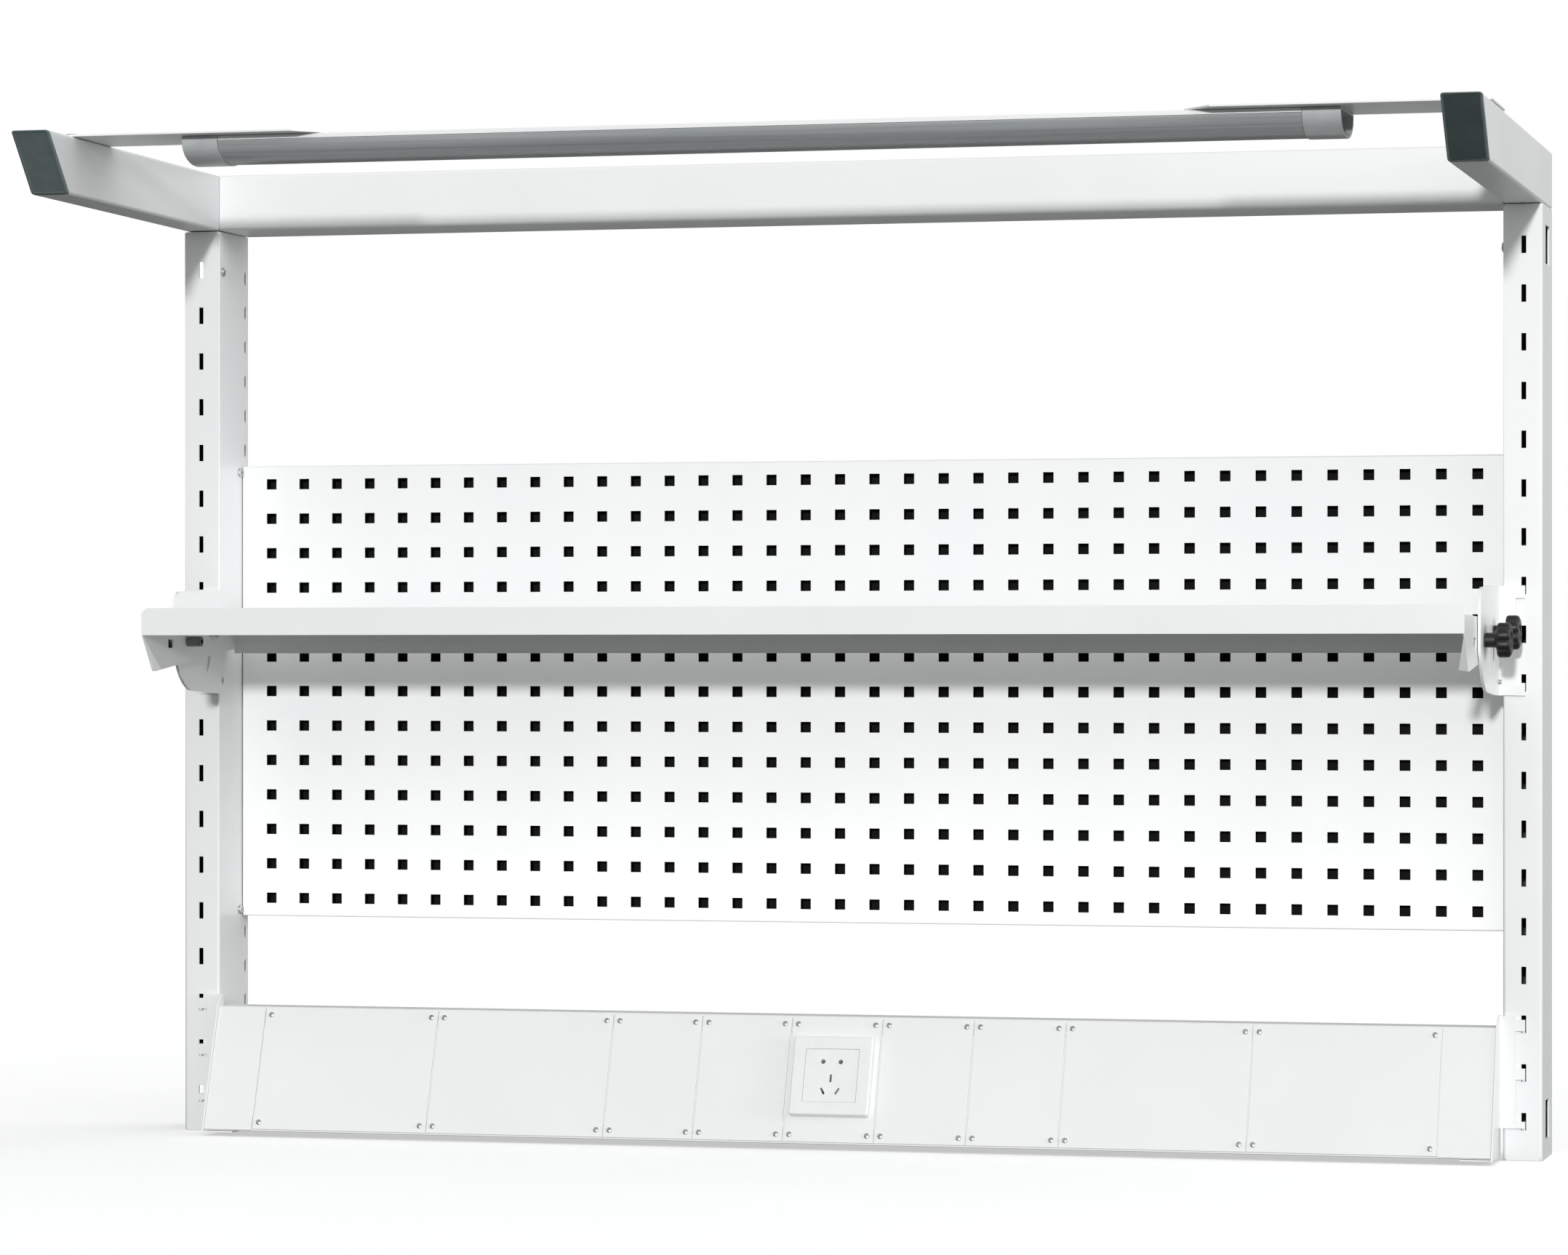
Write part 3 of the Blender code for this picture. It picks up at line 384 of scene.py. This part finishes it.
def loft(rings, closed_ends=True):
    """Bridge a row of rings, each a list of points, into one closed skin."""
    bm = bmesh.new()
    loops = []
    for points in rings:
        corners = [bm.verts.new(point) for point in points]
        loops.append([bm.edges.new(pair) for pair in zip(corners, corners[1:] + corners[:1])])
    for first, second in zip(loops, loops[1:]):
        bmesh.ops.bridge_loops(bm, edges=first + second)
    if closed_ends:
        bmesh.ops.contextual_create(bm, geom=loops[0])
        bmesh.ops.contextual_create(bm, geom=loops[-1])
    return bm


def stand_on(bm, place, outward):
    """Turn a shape's +Z outwards and move its foot to a place."""
    turn = Vector(outward).to_track_quat("Z", "Y").to_matrix().to_4x4()
    bmesh.ops.transform(bm, matrix=Matrix.Translation(place) @ turn, verts=bm.verts)
    return bm


def gather(shapes):
    """Several loose shapes in one bmesh."""
    whole = bmesh.new()
    for shape in shapes:
        mesh = bpy.data.meshes.new("gather")
        shape.to_mesh(mesh)
        shape.free()
        whole.from_mesh(mesh)
        bpy.data.meshes.remove(mesh)
    return whole


def middle(node):
    low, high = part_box(node)
    return (low + high) / 2


# --------------------------------------------------------------------- fasteners
def thread(radius, top, bottom, pitch=0.001):
    """The zigzag of a thread's outline, from the top down."""
    points = []
    count = max(1, int((top - bottom) / pitch))
    step = (top - bottom) / count
    for turn in range(count):
        points.append((radius, top - turn * step - 0.15 * step))
        points.append((radius * 0.84, top - (turn + 0.5) * step))
    return points + [(radius, bottom + 0.15 * step)]


def pan_screw(head, height, shank, length, steps=20):
    """A round-head screw with a cross recess, its seat at height 0."""
    dome = [(head * sin(a), height * (0.42 + 0.58 * cos(a)))
            for a in (0.0, 0.35, 0.7, 1.0, 1.25, 1.45, pi / 2)]
    profile = [(0, height)] + dome[1:] + [(head * 0.985, 0.0), (shank, 0.0)]
    profile += thread(shank, 0.0, -length) + [(shank * 0.6, -length - 0.0004), (0, -length - 0.0004)]
    body = lathe(profile, steps)
    reach = head * 0.55
    arm = head * 0.14
    depth = height * 0.35
    across = block((-reach, -arm, depth), (reach, arm, height + 0.001))
    along = block((-arm, -reach, depth), (arm, reach, height + 0.0011))
    return combine(combine(body, across, "DIFFERENCE"), along, "DIFFERENCE")


def sunk_screw(head, depth, shank, length, steps=20):
    """A flat-head screw with a cross recess, its face at height 0."""
    profile = [(0, 0), (head - 0.0003, 0), (head, -0.0003), (head, -depth), (shank, -depth)]
    profile += thread(shank, -depth, -length) + [(shank * 0.6, -length - 0.0004), (0, -length - 0.0004)]
    body = lathe(profile, steps)
    reach = head * 0.55
    arm = head * 0.13
    across = block((-reach, -arm, -depth * 0.6), (reach, arm, 0.001))
    along = block((-arm, -reach, -depth * 0.6), (arm, reach, 0.0011))
    return combine(combine(body, across, "DIFFERENCE"), along, "DIFFERENCE")


def hexagon_bolt(across, height, shank, length, washer):
    """A hexagon head with turned-down corners on a washer face."""
    head = bmesh.new()
    bmesh.ops.create_circle(head, cap_ends=True, radius=across, segments=6)
    grown = bmesh.ops.extrude_face_region(head, geom=head.faces[:])
    rise = [item for item in grown["geom"] if isinstance(item, bmesh.types.BMVert)]
    bmesh.ops.translate(head, verts=rise, vec=(0, 0, height))
    cone = [(0, height), (across * 0.86, height), (across * 1.04, height - across * 0.16),
            (across * 1.04, -0.001), (0, -0.001)]
    head = combine(head, lathe(cone, 36), "INTERSECT")
    disc = [(0, 0.0002), (washer, 0.0002), (washer, 0.0009), (washer - 0.0003, 0.0011), (0, 0.0011)]
    stem = [(0, 0.0006), (shank, 0.0006)] + thread(shank, -0.0005, -length)
    stem += [(shank * 0.7, -length - 0.0006), (0, -length - 0.0006)]
    whole = combine(head, lathe(disc, 32), "UNION")
    return combine(whole, lathe(stem, 20), "UNION")


def socket_bolt(head, height, shank, length):
    """A cylinder head with a hexagon socket, on a threaded shank."""
    profile = [(0, height), (head - 0.0007, height), (head - 0.0002, height - 0.0002),
               (head, height - 0.0007),
               (head, 0.0004), (head - 0.0003, 0.0), (shank, 0.0)]
    profile += thread(shank, -0.001, -length) + [(shank * 0.7, -length - 0.0005), (0, -length - 0.0005)]
    key = bmesh.new()
    bmesh.ops.create_cone(key, cap_ends=True, segments=6, radius1=head * 0.52, radius2=head * 0.52,
                          depth=height, matrix=Matrix.Translation((0, 0, height * 1.05)))
    return combine(lathe(profile, 32), key, "DIFFERENCE")


def wall_screws():
    """The screws in the inner sides of the uprights and of the shelf's brackets."""
    for label, side in SIDES:
        for kind in ("upper_panel_screw", "lower_panel_screw", "arm_screw"):
            node = f"{label}_{kind}"
            low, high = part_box(node)
            height = 0.0025
            seat = (low.x + height) if side > 0 else (high.x - height)
            screw = pan_screw(SIDE_SCREW_HEAD, height, 0.0025, high.x - low.x - height - 0.0005)
            place = (seat, middle(node).y, middle(node).z)
            settle(node + "_made", stand_on(screw, place, (-side, 0, 0)), node)
        node = label + "_bracket_stop_screw"
        low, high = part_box(node)
        screw = sunk_screw(STOP_SCREW_HEAD, 0.0016, 0.0025, high.x - low.x - 0.0005)
        place = (low.x if side > 0 else high.x, middle(node).y, middle(node).z)
        settle(node + "_made", stand_on(screw, place, (-side, 0, 0)), node)


def canopy_bolts():
    up = Vector(MOUNTS["beam_top"]["axis"])
    for label, _ in SIDES:
        for node, made in ((f"{label}_lamp_bracket_bolt", "hexagon"), (f"{label}_lamp_fixing_screw", "pan")):
            low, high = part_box(node)
            centre = middle(node)
            tall = 0.004 if made == "hexagon" else 0.0025
            seat = Vector((centre.x, centre.y, high.z)) - up * tall
            length = high.z - low.z - tall - 0.0005
            if made == "hexagon":
                shape = hexagon_bolt(0.0058, tall, 0.0027, length, 0.0066)
            else:
                shape = pan_screw(0.005, tall, 0.0027, length)
            settle(node + "_made", stand_on(shape, seat, up), node)


def shelf_bolts():
    for label, side in SIDES:
        for node, stub in ((f"{label}_pivot_bolt", 0.016), (f"{label}_lock_bolt", 0.006)):
            low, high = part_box(node)
            centre = middle(node)
            seat = (low.x + stub) if side > 0 else (high.x - stub)
            length = high.x - low.x - stub - 0.0005
            if stub > 0.010:
                shape = socket_bolt(0.0055, stub, 0.003, length)
            else:
                shape = hexagon_bolt(0.0054, stub, 0.003, length, 0.0055)
            settle(node + "_made", stand_on(shape, (seat, centre.y, centre.z), (-side, 0, 0)), node)


# ------------------------------------------------------------------------- knobs
def lobed(radius, wave, height):
    """A ring with seven rounded lobes."""
    points = []
    for k in range(KNOB_POINTS):
        angle = 2 * pi * k / KNOB_POINTS
        reach = radius - wave * (1 - abs(cos(KNOB_LOBES / 2 * angle))) ** 1.2
        points.append((reach * cos(angle), reach * sin(angle), height))
    return points


def knob_shape(length):
    """A bored collar flaring into a seven-lobed grip with a dished face."""
    head = length - 0.014
    rings = [
        lobed(0.0031, 0, 0.0205), lobed(0.0031, 0, 0.0), lobed(0.0070, 0, 0.0), lobed(0.0075, 0, 0.0006),
        lobed(0.0075, 0, head - 0.0026), lobed(0.0079, 0, head - 0.0012), lobed(0.0090, 0, head - 0.0003),
        lobed(KNOB_RADIUS - 0.0030, KNOB_WAVE * 0.8, head),
        lobed(KNOB_RADIUS - 0.0013, KNOB_WAVE, head + 0.0005),
        lobed(KNOB_RADIUS - 0.0003, KNOB_WAVE, head + 0.0016), lobed(KNOB_RADIUS, KNOB_WAVE, head + 0.0032),
        lobed(KNOB_RADIUS, KNOB_WAVE, length - 0.0040),
        lobed(KNOB_RADIUS - 0.0004, KNOB_WAVE, length - 0.0020),
        lobed(KNOB_RADIUS - 0.0016, KNOB_WAVE, length - 0.0006),
        lobed(KNOB_RADIUS - 0.0034, KNOB_WAVE * 0.8, length),
        lobed(0.0098, 0, length), lobed(0.0088, 0, length - 0.0005), lobed(0.0082, 0, length - 0.0013),
        lobed(0.0050, 0, length - 0.0014), lobed(0.0045, 0, length - 0.0008),
        lobed(0.0030, 0, length - 0.0005),
    ]
    return loft(rings)


def knobs():
    for label, side in SIDES:
        for kind in ("pivot_knob", "lock_knob"):
            node = f"{label}_{kind}"
            low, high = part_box(node)
            centre = middle(node)
            base = low.x if side > 0 else high.x
            joint = next(j for j in frame["joints"] if j["child"] == node)
            foot = (base, joint["pos_m"][1], joint["pos_m"][2])
            shape = stand_on(knob_shape(high.x - low.x), foot, (side, 0, 0))
            settle(node + "_made", shape, node, crease=50)


# ---------------------------------------------------------------------- arm caps
def rounded(width, height, corner, steps=6):
    """A rectangle's outline with round corners, about its own middle."""
    points = []
    for quarter, (right, up) in enumerate(((1, 1), (-1, 1), (-1, -1), (1, -1))):
        for k in range(steps + 1):
            angle = (quarter + k / steps) * pi / 2
            points.append((right * (width / 2 - corner) + corner * cos(angle),
                           up * (height / 2 - corner) + corner * sin(angle)))
    return points


def arm_caps():
    """Moulded caps: a soft-edged face plate with a sunk field, and the plug behind it."""
    upward = Vector(MOUNTS["beam_top"]["axis"])
    inward = Vector((0, upward.z, -upward.y))
    across = Vector((1, 0, 0))
    for label, _ in SIDES:
        node = label + "_arm_cap"
        shape = merged(node)
        face = min(shape.faces, key=lambda item: item.normal.y * item.calc_area())
        outward = face.normal.copy()
        slant = outward.cross(across)
        level = face.verts[0].co.dot(outward)
        heights = [vertex.co.dot(slant) for vertex in face.verts]
        centre = outward * level + slant * ((min(heights) + max(heights)) / 2) + across * middle(node).x
        low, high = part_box(node)
        width = high.x - low.x
        height = max(heights) - min(heights)
        shape.free()
        rings = []
        for inset, depth in ((0.0040, 0.0006), (0.0034, 0.0006), (0.0030, 0.0002), (0.0026, 0.0),
                             (0.0016, 0.0),
                             (0.0008, 0.0003), (0.0002, 0.0009), (0.0, 0.0016), (0.0, CAP_FACE - 0.0003),
                             (0.0003, CAP_FACE), (CAP_PLUG_INSET, CAP_FACE),
                             (CAP_PLUG_INSET, CAP_FACE + CAP_PLUG * 0.7),
                             (CAP_PLUG_INSET + 0.0012, CAP_FACE + CAP_PLUG)):
            corner = max(CAP_CORNER - inset, 0.0008)
            foot = centre - inward * (depth / inward.dot(outward))
            rings.append([foot + across * u + slant * v
                          for u, v in rounded(width - 2 * inset, height - 2 * inset, corner)])
        settle(node + "_made", loft(rings), node, crease=35)


# -------------------------------------------------------------------------- lamp
def lamp_parts():
    for label, _ in SIDES:
        rework(f"lamp_{label}_end_cap", rim=0.0006)
    lamp_tray()
    rework("lamp_diffuser", rim=0.0002)
    light_strip()
    driver()


def lamp_tray():
    """The lamp's steel tray, with a shallow bead pressed along each side."""
    bm = merged("lamp_housing")
    sides = [face for face in bm.faces if abs(face.normal.y) > 0.9 and face.calc_area() > 0.003]
    outer = [face for face in sides
             if face.normal.y * (face.calc_center_median() - middle("lamp_housing")).y > 0]
    round_folds(bm, 0.0008, 0.0008)
    outer = [face for face in outer if face.is_valid]
    bmesh.ops.inset_individual(bm, faces=outer, thickness=0.0011, depth=0.0)
    bmesh.ops.inset_individual(bm, faces=outer, thickness=0.0003, depth=-0.0003)
    settle("lamp_housing_made", bm, "lamp_housing", rim=0.0002)


def light_strip():
    """The light board with its row of small square light packages."""
    node = "lamp_led_board"
    low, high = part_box(node)
    shapes = [merged(node)]
    pitch = (high.x - low.x) / LED_COUNT
    centre = (low.y + high.y) / 2
    for k in range(LED_COUNT):
        x = low.x + (k + 0.5) * pitch
        chip = block((x - 0.0014, centre - 0.0014, low.z - 0.0008),
                     (x + 0.0014, centre + 0.0014, low.z + 0.0003))
        shapes.append(chip)
    strip = shapes[0]
    for chip in shapes[1:]:
        strip = combine(strip, chip, "UNION")
    settle(node + "_made", strip, node, rim=0.0001)


def driver():
    """The driver's case, with cooling slits pressed in its underside."""
    node = "lamp_driver"
    low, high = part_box(node)
    case = merged(node)
    for k in range(9):
        x = low.x + 0.030 + k * 0.020
        slit = block((x - 0.0015, low.y + 0.006, low.z - 0.001), (x + 0.0015, high.y - 0.006, low.z + 0.001))
        case = combine(case, slit, "DIFFERENCE")
    settle(node + "_made", case, node, rim=0.0005)


# ----------------------------------------------------------------------- console
def cover_screws(node):
    """A cover's four screws, one near each corner."""
    outward = Vector(MOUNTS["socket_face"]["axis"])
    upward = Vector((1, 0, 0)).cross(outward)
    points = [vertex.co for vertex in frame["nodes"][node].data.vertices]
    level = max(point.dot(outward) for point in points)
    heights = [point.dot(upward) for point in points]
    low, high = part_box(node)
    shapes = []
    for x in (low.x + COVER_SCREW_INSET, high.x - COVER_SCREW_INSET):
        for height in (min(heights) + COVER_SCREW_END, max(heights) - COVER_SCREW_END):
            place = upward * height + outward * (level + 0.0001) + Vector((x, 0, 0))
            shapes.append(stand_on(pan_screw(COVER_SCREW_HEAD, 0.0016, 0.0017, 0.001, 18), place, outward))
    settle(node + "_screws", gather(shapes), body="frame", slot="zinc_steel")


def socket():
    """The wall socket: soft-edged face frame, insert and box."""
    outward = Vector(MOUNTS["socket_face"]["axis"])
    bm = merged("socket_plate")
    front = max(bm.faces, key=lambda face: face.normal.dot(outward) * face.calc_area())
    level = front.calc_center_median().dot(outward)
    centre = middle("socket_plate")
    rim = []
    for edge in bm.edges:
        ends = [vertex.co for vertex in edge.verts]
        on_face = all(abs(end.dot(outward) - level) < 0.0001 for end in ends)
        spot = (ends[0] + ends[1]) / 2 - centre
        if on_face and edge.calc_face_angle(0) > 0.5 and (spot - outward * spot.dot(outward)).length > 0.0415:
            rim.append(edge)
    bevel_edges(bm, rim, 0.0022, 4)
    settle("socket_plate_made", bm, "socket_plate", rim=0.0001, crease=35)
    rework("socket_insert", rim=0.0001)
    rework("socket_back_box", rim=0.0008)


def console():
    rework("console_trunking", SHEET_FOLD, SHEET_WALL)
    covers = sorted(node for node in frame["nodes"] if "_cover_" in node)
    for node in covers:
        rework(node, rim=0.0005)
        cover_screws(node)
    socket()


# ---------------------------------------------------------------------- steelwork
def steelwork():
    for label, _ in SIDES:
        tube(label + "_upright", 0.0010)
        tube(label + "_arm", 0.0060)
        rework(label + "_lamp_bracket", rim=0.0004)
        unmerged(label + "_shelf_bracket")
        rework(label + "_console_bracket", SHEET_FOLD, SHEET_WALL)
    tube("cross_beam", 0.0020)
    rework("tool_panel", SHEET_FOLD, SHEET_WALL, rim=0.0002)
    # The black backing paints shade behind the peg holes.
    rework("panel_backing", rim=0.0003)
    rework("tilt_shelf", SHEET_FOLD, SHEET_WALL)


# -------------------------------------------------------------------------- stage
def floor():
    """A wide pale floor under the uprights' feet."""
    bm = bmesh.new()
    bmesh.ops.create_grid(bm, x_segments=1, y_segments=1, size=60.0)
    bmesh.ops.translate(bm, verts=bm.verts, vec=(0, 0, -0.0005))
    mesh = bpy.data.meshes.new("floor")
    bm.to_mesh(mesh)
    bm.free()
    ground = bpy.data.objects.new("floor", mesh)
    bpy.context.scene.collection.objects.link(ground)
    material, tree, shader, where = new_material("pale floor", (0.90, 0.90, 0.90), 0.9)
    shade = noise(tree, where, 3.0, 2.0)
    color = tints(tree, shade, (0.3, (0.89, 0.89, 0.89)), (0.7, (0.91, 0.91, 0.91)))
    tree.links.new(color, shader.inputs["Base Color"])
    shader.inputs["Specular IOR Level"].default_value = 0.0
    shader.inputs["Emission Color"].default_value = (1, 1, 1, 1)
    shader.inputs["Emission Strength"].default_value = 0.43
    mesh.materials.append(material)
    ground.visible_diffuse = False
    ground.visible_glossy = False
    ground.visible_shadow = False
    return ground


def lamp_light(name, kind, energy, place, aim, **settings):
    data = bpy.data.lights.new(name, kind)
    data.energy = energy
    for key, value in settings.items():
        setattr(data, key, value)
    light = bpy.data.objects.new(name, data)
    light.location = place
    light.rotation_euler = (Vector(aim) - Vector(place)).to_track_quat("-Z", "Y").to_euler()
    bpy.context.scene.collection.objects.link(light)
    return light


def keep_off(light, *objects):
    """Leave some objects, such as the floor, out of a light's reach."""
    skipped = bpy.data.collections.new(light.name + " skips")
    for item in objects:
        skipped.objects.link(item)
    for entry in skipped.collection_objects:
        entry.light_linking.link_state = "EXCLUDE"
    light.light_linking.receiver_collection = skipped


def light_only(light, *objects):
    """Let a light fall on these objects and no others."""
    lit = bpy.data.collections.new(light.name + " lights")
    for item in objects:
        lit.objects.link(item)
    light.light_linking.receiver_collection = lit


def room():
    """Soft light all round, brighter from above and from the right, dim from below."""
    world = bpy.data.worlds.new("soft room")
    bpy.context.scene.world = world
    world.use_nodes = True
    tree = world.node_tree
    tree.nodes.clear()
    where = tree.nodes.new("ShaderNodeTexCoord")
    split = tree.nodes.new("ShaderNodeSeparateXYZ")
    tree.links.new(where.outputs["Generated"], split.inputs["Vector"])
    height = spread(tree, split.outputs["Z"], 0.13, 0.55, -0.05, 0.22)
    right = spread(tree, split.outputs["X"], 0.85, 2.2, -0.1, 0.9)
    strength = tree.nodes.new("ShaderNodeMath")
    strength.operation = "MULTIPLY"
    tree.links.new(height, strength.inputs[0])
    tree.links.new(right, strength.inputs[1])
    lit = tree.nodes.new("ShaderNodeBackground")
    lit.inputs["Color"].default_value = (0.985, 0.995, 1.0, 1.0)
    tree.links.new(strength.outputs["Value"], lit.inputs["Strength"])
    seen = tree.nodes.new("ShaderNodeBackground")
    seen.inputs["Color"].default_value = (1, 1, 1, 1)
    path = tree.nodes.new("ShaderNodeLightPath")
    mix = tree.nodes.new("ShaderNodeMixShader")
    tree.links.new(path.outputs["Is Camera Ray"], mix.inputs["Fac"])
    tree.links.new(lit.outputs["Background"], mix.inputs[1])
    tree.links.new(seen.outputs["Background"], mix.inputs[2])
    output = tree.nodes.new("ShaderNodeOutputWorld")
    tree.links.new(mix.outputs["Shader"], output.inputs["Surface"])


def lights(ground):
    key = lamp_light("key", "SUN", KEY_STRENGTH, (0.45, -5.0, 1.40), (0, 0, 0.5), angle=radians(3.0))
    keep_off(key, ground)
    side = lamp_light("side", "SUN", SIDE_STRENGTH, (5.0, -0.7, 1.0), (0, 0, 0.5), angle=radians(15.0))
    keep_off(side, ground, bpy.data.objects["left_arm_made"])
    low = lamp_light("low fill", "AREA", LOW_FILL_POWER, (0, -0.45, 0.12), (0, 0, 0.12),
                     shape="RECTANGLE", size=1.8, size_y=0.1)
    low.visible_camera = False
    light_only(low, bpy.data.objects["tool_panel_made"])


def camera():
    data = bpy.data.cameras.new("camera")
    data.sensor_width = 36.0
    data.lens = CAMERA_LENS
    data.shift_y = 0.0219
    data.clip_end = 200.0
    view = bpy.data.objects.new("camera", data)
    view.location = CAMERA_PLACE
    view.rotation_euler = (radians(90), 0, CAMERA_TURN)
    bpy.context.scene.collection.objects.link(view)
    bpy.context.scene.camera = view


# -------------------------------------------------------------------------- build
steelwork()
arm_caps()
lamp_parts()
console()
wall_screws()
canopy_bolts()
shelf_bolts()
knobs()
ground = floor()
room()
lights(ground)
camera()
bpy.context.scene.view_settings.view_transform = "Standard"
